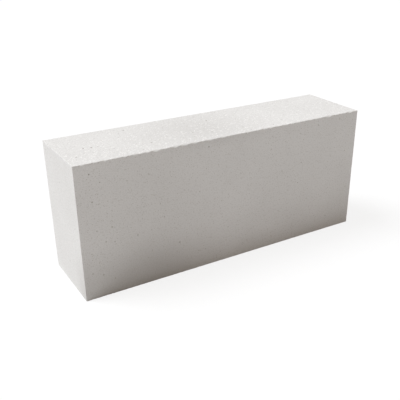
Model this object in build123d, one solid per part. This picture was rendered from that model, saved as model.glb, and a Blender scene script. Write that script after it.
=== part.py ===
from build123d import *
import os

# Aerated concrete block: a plain masonry unit, cut by wires on all six sides from a risen cake of foamed mortar.
# It stands on its lower bed face, as it is laid in a wall. The origin is the middle of that face,
# +X runs along the wall, +Y through the wall and +Z up. All sizes are in millimetres.

# Driving sizes
LENGTH = 600.0  # from one end face to the other, along the wall
THICKNESS = 150.0  # from one wall face to the other, which is the thickness of the finished wall
HEIGHT = 250.0  # from one bed face to the other, which is one course of the wall
ARRIS_RADIUS = 1.0  # rounding that handling leaves on the freshly cut edges


def bed_face():
    """The outline of the lower bed face, centred on the origin."""
    with BuildSketch(Plane.XY) as outline:
        Rectangle(LENGTH, THICKNESS)
    return outline.sketch


def block():
    """The bed face raised by one course, with every cut edge worn to the arris radius."""
    with BuildPart() as unit:
        extrude(bed_face(), amount=HEIGHT)
        fillet(unit.edges(), radius=ARRIS_RADIUS)
    return unit.part


def write(name, piece):
    """Saves one piece under its own name."""
    piece.label = name
    export_step(piece, f"parts/{name}.step")


os.makedirs("parts", exist_ok=True)
write("block", block())
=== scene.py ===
import math

import bpy
import numpy as np
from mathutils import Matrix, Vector


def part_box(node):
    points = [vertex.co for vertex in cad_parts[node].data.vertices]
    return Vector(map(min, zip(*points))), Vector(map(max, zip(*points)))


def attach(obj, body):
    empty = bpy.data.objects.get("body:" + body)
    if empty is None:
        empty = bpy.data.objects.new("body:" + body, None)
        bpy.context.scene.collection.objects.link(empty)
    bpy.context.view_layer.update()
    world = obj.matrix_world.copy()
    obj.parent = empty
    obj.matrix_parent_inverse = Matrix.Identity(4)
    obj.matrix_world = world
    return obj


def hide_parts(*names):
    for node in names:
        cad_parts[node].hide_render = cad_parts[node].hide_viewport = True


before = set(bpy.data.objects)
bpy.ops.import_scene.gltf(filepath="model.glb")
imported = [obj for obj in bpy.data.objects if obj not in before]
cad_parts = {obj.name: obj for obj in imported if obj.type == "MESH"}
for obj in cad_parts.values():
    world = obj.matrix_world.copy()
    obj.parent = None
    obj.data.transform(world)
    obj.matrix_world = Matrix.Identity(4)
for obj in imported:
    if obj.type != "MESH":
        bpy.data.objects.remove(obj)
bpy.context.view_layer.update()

bl_info = {
    "name": "Aerated Concrete Block",
    "version": (1, 0, 0),
    "blender": (4, 5, 0),
    "location": "View3D > Sidebar > Block",
    "description": "Cuts the open-pored skin of an aerated concrete block and sets a plain studio round it",
    "category": "Object",
}

MM = 0.001
NODE = "block"  # the one solid of the part, which the skin stands for
BODY = "root"
LOW, HIGH = (np.array(corner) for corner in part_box(NODE))

# The largest open bubbles of the front face, in mm: from its left arris, from its lower arris, radius
FRONT_BUBBLES = (
    (27, 183, 1.5),
    (58, 130, 1.5),
    (45, 105, 1.4),
    (61, 101, 1.3),
    (104, 102, 1.5),
    (131, 105, 1.2),
    (186, 65, 1.7),
    (226, 36, 1.5),
    (56, 30, 1.4),
    (131, 210, 1.2),
    (150, 151, 1.3),
)

# Painted shade in ragged patches, over the middle of the upper bed, the front's lower left and the foot of
# the left end: middle and half widths of each patch, in mm, and its strength
PAINTED_SHADE_PATCHES = (
    ((-35, -15, 250), (170, 150, 25), 0.33),
    ((-205, -75, 0), (230, 60, 115), 1.0),
    ((-180, -75, 110), (160, 60, 220), 0.22),
    ((-300, -20, 0), (30, 150, 140), 0.21),
)

# The lattice that the skin is drawn on
ARRIS_LINES = 5  # lines along each arris that no bubble reaches
CLOSE_LINES = np.array([0.0, 1.0 - math.tan(math.pi / 8), 1.0, 2.0])  # the first four of them, in arris radii
BITE_LINES = 1.0 - np.tan(math.pi / 16 * np.array([4, 3, 2, 1]))  # and across a bite, in shares of its reach

# The wear of the arrises
WHOLE_CORNER = 9 * MM  # length of arris at each corner over which the wear grows to its full depth
RUB_SPREAD = 0.5  # how far the rubbed radius strays, as a share of the arris radius
LINE_SLIP = 0.35  # how far a lattice line slips along the arris, as a share of the gap to its neighbour
CRUMB_DEPTHS = (0.3, 1.0)  # depth of the shallowest and the deepest crumb, as shares of the set depth
CRUMB_HALVES = (0.7, 1.8)  # half length of the shortest and the longest crumb, as shares of its own depth
CRUMB_RAGS = (0.3, 1.0)  # how much of its depth a crumb keeps from line to line
GRAIN_RARITY = 4  # the higher, the fewer single grains are lost
CRUMB_SCOOP = 0.4  # how hollow a broken crumb is, as a share of its depth
CRUMB_JOLT = 0.2  # how rough the break is, as a share of its depth
FULL_BREAK = 1 * MM  # depth from which a break shows nothing but crushed grain

# The faint waves of the cutting wires
DRIFT_WAVES = (26 * MM, 61 * MM)  # lengths
DRIFT_SLANT = 0.25  # steepest slant across the face
DRIFT_FADE = 12 * MM  # distance from the arrises over which they fade out

# The open bubbles
BUBBLE_ROUNDS = 3  # each round opens bubbles between those of the rounds before
LARGE_REACH, SMALL_REACH = 2, 1  # lattice lines that a bubble takes on each side of its middle
BUBBLE_LIFTS = (-0.3, 0.6)  # lowest and highest stand of a bubble's middle above the face, in radii
FRONT_LIFT = 0.1  # and the stand of the listed ones
BUBBLE_SWAY = 0.3  # how far a bubble strays from its lattice point, in spacings
SHARE_LEFT, SHARE_RIGHT = 1.15, 0.85  # how common bubbles are at the two ends, against the mean
RIM_SHARE = 0.01  # hollow share up to which a point is on the face or the rim

# The finish
PATCH_RAG = 0.5  # how ragged the patches of painted shade are, as a share of their half widths
PATCH_EDGE = (0.25, 1.25)  # from the darkest middle of a patch of painted shade to its edge, in half widths plus the rag
PORE_EDGE = (0.10, 0.34)  # from the floor of a fine pore to its edge, in pore spacings
PORE_SHADE = 0.9  # how far the deepest fine pore is darkened towards the hollow tone, as painted shade
DUST_GLINT_RAG = 0.9  # how ragged the pale spots of dust and painted glint are, in pore spacings
DUST_GLINT_EDGE = (0.72, 0.92)  # from the full tone of a pale spot to its edge, in pore spacings plus the rag
DUST_GLINT_FRONT, DUST_GLINT_BACK = 1.7, 0.3  # how common the pale spots are along the front and the back, against the mean
DUST_GLINT_DEPTHS = (1.5 * MM, 0.5 * MM)  # from where no pale spot lies to where they all lie, below the upper bed
DENT_DEPTH = 0.4 * MM  # depth of the fine pores, and of the grit between them

PAPER_WHITE = 1.02  # brightness of the floor outside the shadow, just past white


def linear(code):
    """An sRGB hex colour as the linear red, green and blue that the shaders take."""
    levels = np.array([int(code[start:start + 2], 16) for start in (1, 3, 5)]) / 255.0
    return tuple(np.where(levels <= 0.04045, levels / 12.92, ((levels + 0.055) / 1.055) ** 2.4).tolist())


def opaque(colour):
    """A colour with full cover, as a colour socket takes it."""
    return (*colour, 1.0)


class BlockSettings(bpy.types.PropertyGroup):
    """Sizes of the block's skin"""

    spacing: bpy.props.FloatProperty(
        name="Lattice spacing",
        description="Distance between the lines of the lattice that the skin is drawn on",
        default=2.5 * MM,
        min=1.0 * MM,
        precision=5,
        unit="LENGTH",
    )
    arris: bpy.props.FloatProperty(
        name="Arris radius",
        description="Rounding that handling leaves on the freshly cut edges",
        default=0.4 * MM,
        min=0.2 * MM,
        precision=5,
        unit="LENGTH",
    )
    crumb: bpy.props.FloatProperty(
        name="Crumb depth",
        description="Depth of the deepest crumbs broken off the upper front arris, which is knocked most",
        default=3.2 * MM,
        min=0.0,
        precision=5,
        unit="LENGTH",
    )
    nick_share: bpy.props.FloatProperty(
        name="Nick share",
        description="How deep the crumbs broken off the other arrises are, as a share of that depth",
        default=0.15,
        min=0.0,
        max=1.0,
        subtype="FACTOR",
    )
    crumb_rate: bpy.props.FloatProperty(
        name="Crumb rate",
        description="Number of crumbs broken off a metre of arris",
        default=80.0,
        min=0.0,
    )
    bubble: bpy.props.FloatVectorProperty(
        name="Bubble radius",
        description="Smallest and largest radius of the gas bubbles that show as pits",
        default=(0.8 * MM, 1.5 * MM),
        size=2,
        precision=5,
        unit="LENGTH",
    )
    small_bubble: bpy.props.FloatVectorProperty(
        name="Small bubble radius",
        description="Smallest and largest radius of the gas bubbles between those",
        default=(0.6 * MM, 1.1 * MM),
        size=2,
        precision=5,
        unit="LENGTH",
    )
    bubble_share: bpy.props.FloatProperty(
        name="Bubble share",
        description="Share of the places for a bubble that hold one",
        default=0.14,
        min=0.0,
        max=1.0,
        subtype="FACTOR",
    )
    upper_scale: bpy.props.FloatProperty(
        name="Upper bubble scale",
        description="How much larger the bubbles are on the upper face than on the others",
        default=1.45,
        min=0.1,
    )
    small_bubble_share: bpy.props.FloatProperty(
        name="Small bubble share",
        description="Share of the places for a small bubble that hold one",
        default=0.7,
        min=0.0,
        max=1.0,
        subtype="FACTOR",
    )
    drift: bpy.props.FloatProperty(
        name="Wire drift",
        description="Depth of the faint waves that the cutting wires leave on the faces",
        default=0.12 * MM,
        min=0.0,
        precision=5,
        unit="LENGTH",
    )
    seed: bpy.props.IntProperty(
        name="Seed",
        description="Start of the random draws, so that every run gives the same block",
        default=7,
        min=0,
    )


class FinishSettings(bpy.types.PropertyGroup):
    """Colours and grain of the aerated concrete"""

    dry: bpy.props.FloatVectorProperty(
        name="Dry tone",
        description="Colour of the driest, chalkiest stretches",
        default=linear("#E9E8E6"),
        size=3,
        subtype="COLOR",
    )
    # Also the tone that the patches of painted shade darken the block towards.
    damp: bpy.props.FloatVectorProperty(
        name="Damp tone",
        description="Colour of the stretches that hold the most moisture",
        default=linear("#CDCBC8"),
        size=3,
        subtype="COLOR",
    )
    # Painted shade, partly dust: open bubbles and fine pores are darkened towards this tone with their depth.
    hollow: bpy.props.FloatVectorProperty(
        name="Hollow tone",
        description="Colour of the painted shade and dust in the bottom of an open bubble",
        default=linear("#C2BEB7"),
        size=3,
        subtype="COLOR",
    )
    # Partly painted glints: besides settled dust, these pale spots stand in for light caught on grains.
    dust: bpy.props.FloatVectorProperty(
        name="Dust tone",
        description="Colour of the cutting dust that has settled in some of the upper bed's fine pores",
        default=linear("#FBFAF8"),
        size=3,
        subtype="COLOR",
    )
    # Share of the pale spots, which are dust and painted glints together.
    dusty: bpy.props.FloatProperty(
        name="Dusty share",
        description="Share of the upper bed's fine pores that are packed with cutting dust",
        default=0.22,
        min=0.0,
        max=1.0,
        subtype="FACTOR",
    )
    cloud: bpy.props.FloatProperty(
        name="Cloud size",
        description="Distance over which the tone changes from dry to damp",
        default=90 * MM,
        unit="LENGTH",
    )
    cloud_draw: bpy.props.FloatProperty(
        name="Cloud draw",
        description="Which of the possible cloud patterns the block has",
        default=11.1,
    )
    cloudiness: bpy.props.FloatProperty(
        name="Cloudiness",
        description="How far the clouds go from the dry tone to the damp one",
        default=0.14,
        min=0.0,
        max=1.0,
        subtype="FACTOR",
    )
    pore: bpy.props.FloatProperty(
        name="Pore spacing",
        description="Distance between the fine pores",
        default=3.2 * MM,
        precision=5,
        unit="LENGTH",
    )
    grit: bpy.props.FloatProperty(
        name="Grit size",
        description="Width of the sand grains and crumbs between the pores",
        default=2.2 * MM,
        precision=5,
        unit="LENGTH",
    )


class StudioSettings(bpy.types.PropertyGroup):
    """Light, floor and camera"""

    key: bpy.props.FloatProperty(
        name="Key strength",
        description="Strength of the soft key light, from above the block's left end and behind it",
        default=2.82,
        min=0.0,
    )
    key_direction: bpy.props.FloatVectorProperty(
        name="Key direction",
        description="Direction from the block towards the key light",
        default=(-0.460, 0.290, 0.839),
        size=3,
        subtype="DIRECTION",
    )
    key_angle: bpy.props.FloatProperty(
        name="Key softness",
        description="Angle that the key light fills as seen from the block",
        default=math.radians(30.0),
        subtype="ANGLE",
    )
    key_colour: bpy.props.FloatVectorProperty(
        name="Key colour",
        description="Colour of the key light",
        default=linear("#F7FBFF"),
        size=3,
        subtype="COLOR",
    )
    fill: bpy.props.FloatProperty(
        name="Fill strength",
        description="Brightness of the even light from all round",
        default=0.31,
        min=0.0,
    )
    fill_colour: bpy.props.FloatVectorProperty(
        name="Fill colour",
        description="Colour of the even light from all round",
        default=linear("#FFF2E7"),
        size=3,
        subtype="COLOR",
    )
    floor: bpy.props.FloatVectorProperty(
        name="Floor tone",
        description="Colour of the floor in the light that it throws back at the block",
        default=linear("#E7E7E7"),
        size=3,
        subtype="COLOR",
    )
    shadow: bpy.props.FloatProperty(
        name="Shadow share",
        description="Share of the white floor that the block's shadow can take away",
        default=0.18,
        min=0.0,
        max=1.0,
        subtype="FACTOR",
    )
    floor_size: bpy.props.FloatProperty(
        name="Floor size",
        description="Side of the square floor",
        default=12.0,
        unit="LENGTH",
    )
    lens: bpy.props.FloatProperty(
        name="Lens",
        description="Focal length of the camera, in millimetres on a sensor 36 mm wide",
        default=55.0,
        unit="CAMERA",
    )
    azimuth: bpy.props.FloatProperty(
        name="Azimuth",
        description="Where the camera stands round the block; none is straight before the front face",
        default=math.radians(-31.67),
        subtype="ANGLE",
    )
    elevation: bpy.props.FloatProperty(
        name="Elevation",
        description="How far above the level the camera stands",
        default=math.radians(25.94),
        subtype="ANGLE",
    )
    distance: bpy.props.FloatProperty(
        name="Distance",
        description="Distance from the camera to the point that it is aimed at",
        default=1.2426,
        unit="LENGTH",
    )
    aim: bpy.props.FloatVectorProperty(
        name="Aim",
        description="Point that the camera is aimed at",
        default=(0.0100, 0.0, 0.0513),
        size=3,
        subtype="XYZ",
        unit="LENGTH",
    )
    shift: bpy.props.FloatVectorProperty(
        name="Shift",
        description="Sideways and upward shift of the picture, as shares of its width",
        default=(-0.040, 0.045),
        size=2,
    )


def other_axes(axis):
    """The two axes that a face across this axis spans, in order."""
    return [other for other in range(3) if other != axis]


def lattice_lines(low, high, spacing, arris):
    """Where the lattice lines cross one side of the block.

    Four close lines at each end: on the edge, where the round of the arris has turned halfway into the face,
    where it runs out into the face, and as far again beyond. Even steps lie between.
    """
    close = arris * CLOSE_LINES
    even = np.linspace(low + close[-1], high - close[-1], round((high - low - 2 * close[-1]) / spacing) + 1)
    return np.concatenate([low + close[:-1], even, high - close[-2::-1]])


def box_lattice(lines):
    """The lattice points on the skin of a box, as triples of line numbers, and the cube of their own numbers.

    A point is on the skin where at least one of its three line numbers is the first or the last.
    Each face of the box is then one outer slice of the cube, and neighbours share the points of their arris.
    """
    skin = np.ones([len(side) for side in lines], bool)
    skin[1:-1, 1:-1, 1:-1] = False
    numbers = np.full(skin.shape, -1)
    numbers[skin] = np.arange(skin.sum())
    return np.argwhere(skin), numbers


def box_faces(numbers):
    """The six faces: the axis each stands across, its inward sign there, and its grid of point numbers."""
    for axis in range(3):
        yield axis, 1.0, np.take(numbers, 0, axis)
        yield axis, -1.0, np.take(numbers, -1, axis)


def is_front(face):
    """Whether a face is the front wall face."""
    axis, inward, _ = face
    return axis == 1 and inward > 0


def is_upper(face):
    """Whether a face is the upper bed."""
    axis, inward, _ = face
    return axis == 2 and inward < 0


def face_quads(axis, inward, grid):
    """The quads of one face, wound so that they face outwards.

    Rows and columns run along the other two axes in order, so their cross product points
    along the axis, except on the middle axis, where it points against it.
    """
    quads = np.stack([grid[:-1, :-1], grid[1:, :-1], grid[1:, 1:], grid[:-1, 1:]], axis=-1).reshape(-1, 4)
    along = -1.0 if axis == 1 else 1.0
    return quads[:, ::-1] if along == inward else quads


def bites(rng, spots, count, depth):
    """How deep the crumbs broken off an arris are at the spots along it.

    A crumb leaves a ragged elliptical bite, somewhat longer than it is deep. Between the crumbs single grains
    are lost, few of them as deep. Where bites overlap, the deeper one counts.
    """
    middle = rng.uniform(spots[0], spots[-1], count)
    shallow, full = CRUMB_DEPTHS
    deep = depth * (shallow + (full - shallow) * rng.random(count) ** 2)
    half = deep * rng.uniform(*CRUMB_HALVES, count)
    across = (spots[:, None] - middle) / half
    crumbs = (deep * np.sqrt(np.clip(1.0 - across ** 2, 0.0, None))).max(axis=1)
    grains = depth * rng.random(len(spots)) ** GRAIN_RARITY
    return np.maximum(crumbs * rng.uniform(*CRUMB_RAGS, len(spots)), grains)


def worn_arrises(rng, lines, block):
    """How each of the twelve arrises is worn, at every lattice line along it.

    One table for each axis, with the rows for either side on both other axes. It holds the rubbed radius,
    the depth of the crumbs, and how far the line slips along the arris, so that crumbs have uneven lengths.
    Towards the corners of the block the wear shrinks to the plain arris radius.
    """
    tables = []
    for axis, spots in enumerate(lines):
        table = np.empty((2, 2, len(spots), 3))
        gap = np.minimum(np.diff(spots, prepend=spots[0]), np.diff(spots, append=spots[-1]))
        grown = np.clip(np.minimum(spots - spots[0], spots[-1] - spots) / WHOLE_CORNER, 0.0, 1.0) ** 2
        for sides in np.ndindex(2, 2):
            upper_front = axis == 0 and sides == (0, 1)
            depth = block.crumb if upper_front else block.crumb * block.nick_share
            count = round(block.crumb_rate * (spots[-1] - spots[0]))
            stray = rng.uniform(-RUB_SPREAD, RUB_SPREAD, len(spots))
            table[sides][:, 0] = block.arris * (1.0 + grown * stray)
            table[sides][:, 1] = grown * bites(rng, spots, count, depth)
            table[sides][:, 2] = gap * rng.uniform(-LINE_SLIP, LINE_SLIP, len(spots))
        tables.append(table)
    return tables


def worn_box(rng, points, places, arrises):
    """Moves lattice points on a sharp box onto the worn one.

    Each point follows the arris nearest to it, which runs along the axis on which the point is furthest
    from a face. With r the rubbed radius and the crumb's depth together, the close lines are first spread
    over r, so that they lie at even steps of the turn. A point is then clamped to the box shrunk by r,
    and set r away from there in the direction that it lay in, which rounds the arris. Halfway round, a crumb
    takes a scoop more, so that it is hollow, and the scoop varies from point to point, so that the break
    is rough. The second result is the share of broken grain at each point.
    """
    away = np.minimum(points - LOW, HIGH - points)
    along = np.argmax(away, axis=1)
    high = points > (LOW + HIGH) / 2
    wear = np.empty((len(points), 3))
    for axis in range(3):
        near = along == axis
        first, second = other_axes(axis)
        sides = high[near].astype(int)
        wear[near] = arrises[axis][sides[:, first], sides[:, second], places[near, axis]]
    rubbed, crumb, slip = wear.T[:, :, None]
    reach = rubbed + crumb
    line = np.minimum(places, places.max(axis=0) - places)
    share = np.append(BITE_LINES, 0.0)[np.minimum(line, len(BITE_LINES))]
    spread = np.maximum(share * reach - away, 0.0)
    points = points + np.where(high, -spread, spread)
    inner = np.clip(points, LOW + reach, HIGH - reach)
    out = points - inner
    out /= np.linalg.norm(out, axis=1, keepdims=True)
    halfway = np.clip(2 * np.abs(out * np.roll(out, 1, axis=1)).sum(axis=1, keepdims=True), 0.0, 1.0)
    scoop = halfway * (CRUMB_SCOOP + CRUMB_JOLT * rng.uniform(-1.0, 1.0, halfway.shape))
    worn = inner + out * (rubbed + crumb * (1.0 - scoop)) + halfway * slip * np.eye(3)[along]
    broken = halfway * np.clip(crumb / FULL_BREAK, 0.0, 1.0)
    return np.clip(worn, LOW, HIGH), broken[:, 0]


def wire_drift(rng, points, face, depth):
    """Sinks a face by the faint waves of a cutting wire that drifts as it is drawn through.

    Two sine waves slanted across the face are added, with the crests left at the face,
    and they fade out towards the arrises, which stay straight.
    """
    axis, inward, grid = face
    first, second = other_axes(axis)
    u = points[grid, first]
    v = points[grid, second]
    waves = 0.0
    for length in DRIFT_WAVES:
        slant = rng.uniform(-DRIFT_SLANT, DRIFT_SLANT)
        start = rng.uniform(0, 2 * math.pi)
        waves = waves + 1.0 - np.sin(2 * math.pi * (v + slant * u) / length + start)
    edge = np.minimum.reduce([u - LOW[first], HIGH[first] - u, v - LOW[second], HIGH[second] - v])
    fade = np.clip(edge / DRIFT_FADE, 0.0, 1.0)
    points[grid, axis] += inward * depth * waves / (2 * len(DRIFT_WAVES)) * fade


def square(reach):
    """Row and column steps to all the lattice points within reach lines each way."""
    return np.mgrid[-reach:reach + 1, -reach:reach + 1].reshape(2, -1)


def windows(grid, reach):
    """For every place on a grid, the values within reach lines each way, with nothing beyond the edge."""
    width = 2 * reach + 1
    return np.lib.stride_tricks.sliding_window_view(np.pad(grid, reach), (width, width))


def scattered(rng, free, reach):
    """Places on a face's grid that hold the highest of random marks within reach lines each way.

    Two such places are never closer than that, and otherwise they lie at random.
    """
    marks = np.where(free, rng.random(free.shape), 0.0)
    highest = windows(marks, reach).max(axis=(2, 3))
    return np.argwhere(free & (marks == highest))


def open_bubbles(points, hollow, face, places, offset, radius, lift, reach):
    """Draws the lattice round each place onto a gas bubble that the wire has cut open.

    The middle of a bubble of radius R stands h above the face, or below it where h is less than zero.
    The square rings of lattice points within reach of the place become circles on the bubble, at even steps
    of the angle t up from its bottom, to the rim at cos t = h / R. Such a circle has the radius R sin t
    and lies R cos t - h deep.
    """
    axis, inward, grid = face
    first, second = other_axes(axis)
    row, column = square(reach)
    ring = np.maximum(abs(row), abs(column)) / reach
    turn = np.arctan2(column, row)
    around = grid[places[:, :1] + row, places[:, 1:] + column]
    middle = points[grid[places[:, 0], places[:, 1]]]
    up = ring * np.arccos(lift / radius)[:, None]
    distance = radius[:, None] * np.sin(up)
    down = radius[:, None] * np.cos(up) - lift[:, None]
    points[around, first] = (middle[:, first] + offset[:, 0])[:, None] + distance * np.cos(turn)
    points[around, second] = (middle[:, second] + offset[:, 1])[:, None] + distance * np.sin(turn)
    points[around, axis] += inward * down
    # How deep each point lies in its bubble; the material darkens the bubble with it, as painted shade.
    hollow[around] = down / (radius - lift)[:, None]


def claim(free, places, reach):
    """Takes the lattice points within reach of the places out of those that are free."""
    row, column = square(reach)
    free[places[:, :1] + row, places[:, 1:] + column] = False


def bubble_draws(rng, count, radii):
    """Radii of some bubbles, most of them near the small end, and how high each stands above the face."""
    radius = radii[0] + (radii[1] - radii[0]) * rng.random(count) ** 2
    return radius, radius * rng.uniform(*BUBBLE_LIFTS, count)


def open_placed_bubbles(points, hollow, face, free):
    """Opens the listed bubbles, each from the lattice point nearest to it."""
    axis, _, grid = face
    first, second = other_axes(axis)
    wanted = np.array(FRONT_BUBBLES) * MM
    spots = wanted[:, :2] + LOW[[first, second]]
    radius = wanted[:, 2]
    rows = np.abs(points[grid[:, ARRIS_LINES], first][:, None] - spots[:, 0]).argmin(axis=0)
    columns = np.abs(points[grid[ARRIS_LINES, :], second][:, None] - spots[:, 1]).argmin(axis=0)
    places = np.stack([rows, columns], axis=1)
    offset = spots - points[grid[rows, columns]][:, [first, second]]
    open_bubbles(points, hollow, face, places, offset, radius, FRONT_LIFT * radius, LARGE_REACH)
    claim(free, places, LARGE_REACH + 1)


def pit_face(rng, points, hollow, face, block):
    """Opens the bubbles of one face: on the front the listed ones, then large ones, then small ones."""
    grid = face[2]
    free = np.zeros(grid.shape, bool)
    free[ARRIS_LINES:-ARRIS_LINES, ARRIS_LINES:-ARRIS_LINES] = True
    if is_front(face):
        open_placed_bubbles(points, hollow, face, free)
    # The wire opens more and larger bubbles on the upper face, which lay across the rise of the foam.
    upper = is_upper(face)
    coarse = block.upper_scale if upper else 1.0
    large = (LARGE_REACH, block.bubble, block.bubble_share)
    small = (SMALL_REACH, block.small_bubble, block.small_bubble_share)
    rounds = [large] * BUBBLE_ROUNDS + [small] * (2 * BUBBLE_ROUNDS if upper else BUBBLE_ROUNDS)
    for reach, radii, share in rounds:
        inside = windows(free, reach).all(axis=(2, 3))
        places = scattered(rng, inside, 2 * reach)
        along = (points[grid[places[:, 0], places[:, 1]], 0] - LOW[0]) / (HIGH[0] - LOW[0])
        common = SHARE_LEFT + (SHARE_RIGHT - SHARE_LEFT) * along
        places = places[rng.random(len(places)) < share * common]
        radius, lift = bubble_draws(rng, len(places), coarse * np.array(radii))
        offset = block.spacing * rng.uniform(-BUBBLE_SWAY, BUBBLE_SWAY, (len(places), 2))
        open_bubbles(points, hollow, face, places, offset, radius, lift, reach)
        claim(free, places, reach)


def block_skin(block):
    """The points and quads of the skin, a closed lattice over all six faces, and each point's shares."""
    rng = np.random.default_rng(block.seed)
    lines = [lattice_lines(LOW[axis], HIGH[axis], block.spacing, block.arris) for axis in range(3)]
    places, numbers = box_lattice(lines)
    sharp = np.stack([lines[axis][places[:, axis]] for axis in range(3)], axis=1)
    points, broken = worn_box(rng, sharp, places, worn_arrises(rng, lines, block))
    hollow = np.zeros(len(points))
    quads = []
    for face in box_faces(numbers):
        wire_drift(rng, points, face, block.drift)
        pit_face(rng, points, hollow, face, block)
        quads.append(face_quads(*face))
    return points, np.concatenate(quads), {"hollow": hollow, "broken": broken}


def bubble_rims(mesh, quads, hollow):
    """Which edges of the skin are rims: those with a hollow quad on one side and a flat one on the other."""
    sunk = (hollow[quads] > RIM_SHARE).any(axis=1)
    edges = np.empty(len(mesh.loops), int)
    mesh.loops.foreach_get("edge_index", edges)
    return np.bincount(edges, sunk.repeat(4), len(mesh.edges)) == 1


def add_node(tree, kind, inputs, **settings):
    """Adds one node, sets it, and fills its inputs: a socket is linked, and anything else is written in."""
    node = tree.nodes.new(kind)
    for name, value in settings.items():
        setattr(node, name, value)
    for name, value in inputs.items():
        if isinstance(value, bpy.types.NodeSocket):
            tree.links.new(value, node.inputs[name])
        else:
            node.inputs[name].default_value = value
    return node


def empty_tree(owner):
    """The node tree of a material or a world, with nothing in it."""
    owner.use_nodes = True
    owner.node_tree.nodes.clear()
    return owner.node_tree


def reckon(tree, operation, *values, clamp=False):
    """A socket with the result of one sum on sockets and numbers, kept between 0 and 1 if clamped."""
    node = add_node(tree, "ShaderNodeMath", dict(enumerate(values)), operation=operation, use_clamp=clamp)
    return node.outputs["Value"]


def fading(tree, value, near, far, share=1.0):
    """A socket that falls smoothly from a share to nothing while the value goes from near to far."""
    node = add_node(tree, "ShaderNodeMapRange", {
        "Value": value, "From Min": near, "From Max": far, "To Min": share, "To Max": 0.0,
    }, interpolation_type="SMOOTHSTEP")
    return node.outputs["Result"]


def mixed(tree, share, under, over, blend="MIX"):
    """A socket with one colour laid over another by a share."""
    node = add_node(tree, "ShaderNodeMix", {
        "Factor": share, "A": under, "B": over,
    }, data_type="RGBA", blend_type=blend)
    return node.outputs["Result"]


def moisture(tree, place, finish):
    """A socket with the dampness of soft clouds, and with painted shade: ragged patches that darken the block
    towards the damp tone.
    """
    cloud = add_node(tree, "ShaderNodeTexNoise", {
        "Vector": place, "W": finish.cloud_draw, "Scale": 1 / finish.cloud, "Detail": 3.0,
    }, noise_dimensions="4D").outputs["Fac"]
    damp = add_node(tree, "ShaderNodeMapRange", {
        "Value": cloud, "From Min": 0.35, "From Max": 0.65, "To Max": finish.cloudiness,
    }).outputs["Result"]
    # Painted shade: each patch darkens the block towards the damp tone.
    for middle, half, share in PAINTED_SHADE_PATCHES:
        within = add_node(tree, "ShaderNodeVectorMath", {
            0: place, 1: 1 / (np.array(half) * MM), 2: -np.array(middle) / np.array(half),
        }, operation="MULTIPLY_ADD")
        away = add_node(tree, "ShaderNodeVectorMath", {0: within.outputs["Vector"]}, operation="LENGTH")
        ragged = reckon(tree, "MULTIPLY_ADD", cloud, PATCH_RAG, away.outputs["Value"])
        damp = reckon(tree, "ADD", damp, fading(tree, ragged, *PATCH_EDGE, share), clamp=True)
    return damp


def dust_and_painted_glints(tree, place, distance, own, grit, finish):
    """A socket with the share of pale spots, of dust and of painted glints: ragged spots over the deepest
    fine pores of the upper bed.

    They lie thickest beside the crumbled front arris.
    """
    spot = add_node(tree, "ShaderNodeSeparateXYZ", {"Vector": place})
    clean = add_node(tree, "ShaderNodeMapRange", {
        "Value": spot.outputs["Y"], "From Min": LOW[1], "From Max": HIGH[1],
        "To Min": 1.0 - DUST_GLINT_FRONT * finish.dusty, "To Max": 1.0 - DUST_GLINT_BACK * finish.dusty,
    })
    dusty = reckon(tree, "GREATER_THAN", own, clean.outputs["Result"])
    spilt = fading(tree, reckon(tree, "MULTIPLY_ADD", grit, DUST_GLINT_RAG, distance), *DUST_GLINT_EDGE)
    bare, covered = HIGH[2] - np.array(DUST_GLINT_DEPTHS)
    settled = add_node(tree, "ShaderNodeMapRange", {
        "Value": spot.outputs["Z"], "From Min": bare, "From Max": covered,
        "To Max": reckon(tree, "MULTIPLY", dusty, spilt),
    })
    return settled.outputs["Result"]


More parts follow.
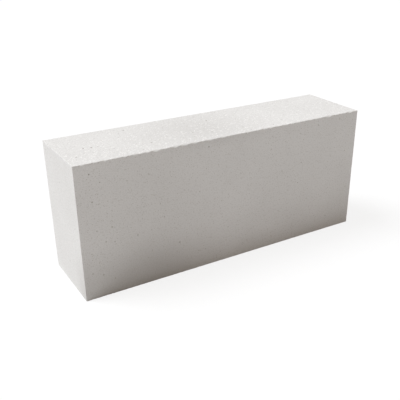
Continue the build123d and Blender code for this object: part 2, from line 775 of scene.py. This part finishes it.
def aerated_concrete(finish):
    """Autoclaved aerated concrete, wire-cut while soft.

    Lime, cement and ground sand, foamed by gas and hardened in steam: a chalky, pale, faintly warm grey
    that scatters all light and shines nowhere. Cut bubbles and fine pores speckle it, darkened as painted
    shade and partly by dust; moisture clouds it softly, and ragged patches of painted shade darken it. Pale
    dust spots on the upper bed also stand in for painted glints.
    """
    material = bpy.data.materials.new("aerated_concrete_wire_cut")
    tree = empty_tree(material)
    place = add_node(tree, "ShaderNodeTexCoord", {}).outputs["Object"]
    grit = add_node(tree, "ShaderNodeTexNoise", {
        "Vector": place, "Scale": 1 / finish.grit, "Detail": 2.0,
    }).outputs["Fac"]
    speck = add_node(tree, "ShaderNodeMapRange", {
        "Value": grit, "From Min": 0.3, "From Max": 0.7, "To Min": 0.95, "To Max": 1.05,
    }).outputs["Result"]
    # The damp tone is laid on by the clouds and by the patches of painted shade.
    body = mixed(tree, moisture(tree, place, finish), opaque(finish.dry), opaque(finish.damp))
    sand = mixed(tree, 1.0, body, speck, blend="MULTIPLY")
    # Real pores are 0.3 to 1 mm wide; they are drawn up to 2 mm wide, because finer ones are lost in
    # the render. Each has a depth of its own: the red of its cell's random colour.
    cells = add_node(tree, "ShaderNodeTexVoronoi", {"Vector": place, "Scale": 1 / finish.pore})
    distance = cells.outputs["Distance"]
    own = add_node(tree, "ShaderNodeSeparateColor", {"Color": cells.outputs["Color"]}).outputs["Red"]
    sunk = reckon(tree, "MULTIPLY", fading(tree, distance, *PORE_EDGE), own)
    pit_shade = add_node(tree, "ShaderNodeAttribute", {}, attribute_name="hollow").outputs["Fac"]
    # Painted shade, partly dust: fine pores and open bubbles are darkened towards the hollow tone with their
    # depth.
    depth = reckon(tree, "MULTIPLY_ADD", sunk, PORE_SHADE, pit_shade, clamp=True)
    with_pore_shade = mixed(tree, depth, sand, opaque(finish.hollow))
    # Dust is paler than the cut face, and so is the crushed grain of a broken arris; the pale dust spots also
    # stand in for painted glints.
    dust = dust_and_painted_glints(tree, place, distance, own, grit, finish)
    broken = add_node(tree, "ShaderNodeAttribute", {}, attribute_name="broken").outputs["Fac"]
    colour = mixed(tree, reckon(tree, "MAXIMUM", dust, broken), with_pore_shade, opaque(finish.dust))
    dull = add_node(tree, "ShaderNodeMapRange", {"Value": grit, "To Min": 0.86, "To Max": 1.0})
    # Dust levels the pores that it fills.
    dents = add_node(tree, "ShaderNodeBump", {
        "Height": reckon(tree, "SUBTRACT", sunk, dust, clamp=True), "Strength": 0.8, "Distance": DENT_DEPTH,
    }, invert=True)
    grain = add_node(tree, "ShaderNodeBump", {
        "Height": grit, "Strength": 0.6, "Distance": DENT_DEPTH, "Normal": dents.outputs["Normal"],
    })
    surface = add_node(tree, "ShaderNodeBsdfPrincipled", {
        "Base Color": colour,
        "Roughness": dull.outputs["Result"],
        "IOR": 1.5,
        "Specular IOR Level": 0.25,
        "Normal": grain.outputs["Normal"],
    })
    add_node(tree, "ShaderNodeOutputMaterial", {"Surface": surface.outputs["BSDF"]})
    return material


def shown_rays(tree):
    """A socket that is 1 for the rays that show a thing: from the camera, off gloss, and through glass."""
    path = add_node(tree, "ShaderNodeLightPath", {})
    share = path.outputs["Is Camera Ray"]
    for name in ("Is Glossy Ray", "Is Transmission Ray"):
        share = reckon(tree, "MAXIMUM", share, path.outputs[name])
    return share


def white_floor(studio):
    """Matt studio paper: it shows white, less the block's shadow, and lights the block as pale paper does."""
    material = bpy.data.materials.new("studio_paper")
    tree = empty_tree(material)
    bounce = add_node(tree, "ShaderNodeBsdfDiffuse", {"Color": opaque(studio.floor)})
    glow = add_node(tree, "ShaderNodeEmission", {
        "Color": opaque((1.0,) * 3), "Strength": PAPER_WHITE - studio.shadow,
    })
    lit = add_node(tree, "ShaderNodeBsdfDiffuse", {"Color": opaque((studio.shadow,) * 3)})
    paper = add_node(tree, "ShaderNodeAddShader", {0: glow.outputs["Emission"], 1: lit.outputs["BSDF"]})
    mix = add_node(tree, "ShaderNodeMixShader", {
        0: shown_rays(tree), 1: bounce.outputs["BSDF"], 2: paper.outputs["Shader"],
    })
    add_node(tree, "ShaderNodeOutputMaterial", {"Surface": mix.outputs["Shader"]})
    return material


def white_world(studio):
    """Even fill light from all round, in front of a plain white background."""
    world = bpy.data.worlds.new("studio_world")
    tree = empty_tree(world)
    fill = add_node(tree, "ShaderNodeBackground", {
        "Color": opaque(studio.fill_colour), "Strength": studio.fill,
    })
    white = add_node(tree, "ShaderNodeBackground", {"Color": opaque((1.0,) * 3), "Strength": 1.0})
    mix = add_node(tree, "ShaderNodeMixShader", {
        0: shown_rays(tree), 1: fill.outputs["Background"], 2: white.outputs["Background"],
    })
    add_node(tree, "ShaderNodeOutputWorld", {"Surface": mix.outputs["Shader"]})
    return world


def add_object(name, data):
    """A new object at the origin, in the scene."""
    made = bpy.data.objects.new(name, data)
    bpy.context.scene.collection.objects.link(made)
    return made


class BLOCK_OT_cut_skin(bpy.types.Operator):
    """Cuts the skin of the block, with its arrises and open bubbles, and gives it its finish"""

    bl_idname = "block.cut_skin"
    bl_label = "Cut Block Skin"

    def execute(self, context):
        points, quads, shares = block_skin(context.scene.block_sizes)
        mesh = bpy.data.meshes.new("block_skin")
        mesh.from_pydata(points, [], quads)
        for name, share in shares.items():
            mesh.attributes.new(name, "FLOAT", "POINT").data.foreach_set("value", share)
        mesh.materials.append(aerated_concrete(context.scene.block_finish))
        mesh.shade_smooth()
        mesh.edges.foreach_set("use_edge_sharp", bubble_rims(mesh, quads, shares["hollow"]))
        skin = add_object("block_skin", mesh)
        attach(skin, BODY)
        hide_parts(NODE)
        return {"FINISHED"}


class BLOCK_OT_set_stage(bpy.types.Operator):
    """Lays the floor, sets the lights and places the camera"""

    bl_idname = "block.set_stage"
    bl_label = "Set Stage"

    def execute(self, context):
        scene = context.scene
        studio = scene.block_studio
        scene.view_settings.view_transform = "Standard"
        scene.world = white_world(studio)
        half = studio.floor_size / 2
        corners = np.array([(-half, -half), (half, -half), (half, half), (-half, half)])
        mesh = bpy.data.meshes.new("floor")
        mesh.from_pydata(np.column_stack([corners, np.full(4, LOW[2])]), [], [(0, 1, 2, 3)])
        mesh.materials.append(white_floor(studio))
        add_object("floor", mesh)
        sun = bpy.data.lights.new("key", "SUN")
        sun.energy = studio.key
        sun.angle = studio.key_angle
        sun.color = studio.key_colour
        towards = Vector(studio.key_direction)
        add_object("key", sun).rotation_euler = towards.to_track_quat("Z", "Y").to_euler()
        lens = bpy.data.cameras.new("camera")
        lens.lens = studio.lens
        lens.shift_x, lens.shift_y = studio.shift
        camera = add_object("camera", lens)
        back = Vector((
            math.sin(studio.azimuth) * math.cos(studio.elevation),
            -math.cos(studio.azimuth) * math.cos(studio.elevation),
            math.sin(studio.elevation),
        ))
        camera.location = Vector(studio.aim) + back * studio.distance
        camera.rotation_euler = back.to_track_quat("Z", "Y").to_euler()
        scene.camera = camera
        return {"FINISHED"}


class BLOCK_PT_sidebar(bpy.types.Panel):
    """Lists the block's sizes, finish and studio, with the steps that use them"""

    bl_idname = "BLOCK_PT_sidebar"
    bl_label = "Aerated Concrete Block"
    bl_space_type = "VIEW_3D"
    bl_region_type = "UI"
    bl_category = "Block"

    def draw(self, context):
        groups = (
            (BLOCK_OT_cut_skin, (context.scene.block_sizes, context.scene.block_finish)),
            (BLOCK_OT_set_stage, (context.scene.block_studio,)),
        )
        for step, settings in groups:
            box = self.layout.box()
            for group in settings:
                for name in group.__annotations__:
                    box.prop(group, name)
            box.operator(step.bl_idname)


CLASSES = (
    BlockSettings,
    FinishSettings,
    StudioSettings,
    BLOCK_OT_cut_skin,
    BLOCK_OT_set_stage,
    BLOCK_PT_sidebar,
)
GROUPS = {"block_sizes": BlockSettings, "block_finish": FinishSettings, "block_studio": StudioSettings}


def register():
    """Makes the classes known to Blender, and gives each scene its settings."""
    for kind in CLASSES:
        bpy.utils.register_class(kind)
    for name, kind in GROUPS.items():
        setattr(bpy.types.Scene, name, bpy.props.PointerProperty(type=kind))


def unregister():
    """Takes the settings and the classes away again."""
    for name in GROUPS:
        delattr(bpy.types.Scene, name)
    for kind in reversed(CLASSES):
        bpy.utils.unregister_class(kind)


def main():
    """Builds the block and its stage."""
    register()
    bpy.ops.block.cut_skin()
    bpy.ops.block.set_stage()


if __name__ == "__main__":
    main()
